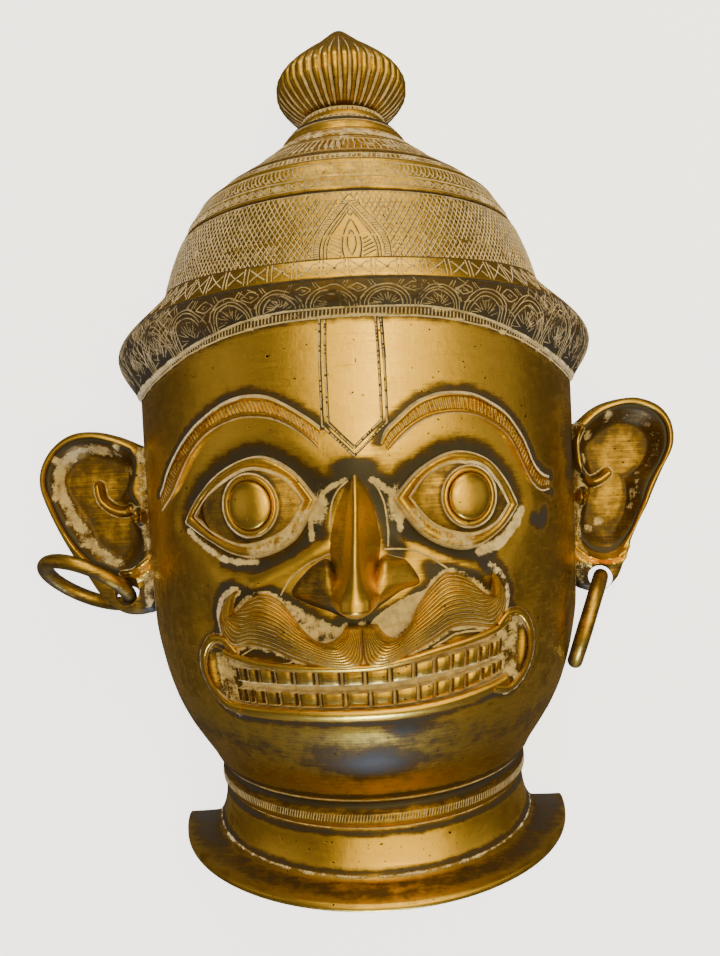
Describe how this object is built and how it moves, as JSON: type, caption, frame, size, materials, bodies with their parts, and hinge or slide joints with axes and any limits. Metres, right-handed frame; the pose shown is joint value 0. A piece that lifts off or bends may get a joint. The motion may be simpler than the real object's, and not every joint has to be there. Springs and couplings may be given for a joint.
{
  "type": "brass spirit mask",
  "caption": "Cast brass half-head mask with domed engraved cap, ribbed knob, grinning moustached face, dished ears with loose hoops, and a flanged neck.",
  "frame": {"origin": "middle of the footprint, on the plane of the cut back that the mask lies on", "axes": "+X to the viewer's right, +Y up the face from the neck flange to the knob, +Z out of the face"},
  "size_m": [0.277, 0.342, 0.1133],
  "materials": {
    "cast_brass": "Aged lost-wax cast brass, polished on the high parts, with brown patina and pale polish residue in the engraving.",
    "hoop_brass": "Plain round brass wire, darkened with handling and worn bright along the outside."
  },
  "bodies": {
    "root": {"mask": "cast_brass", "hoop_earring_left": "hoop_brass", "hoop_earring_right": "hoop_brass"}
  },
  "joints": []
}
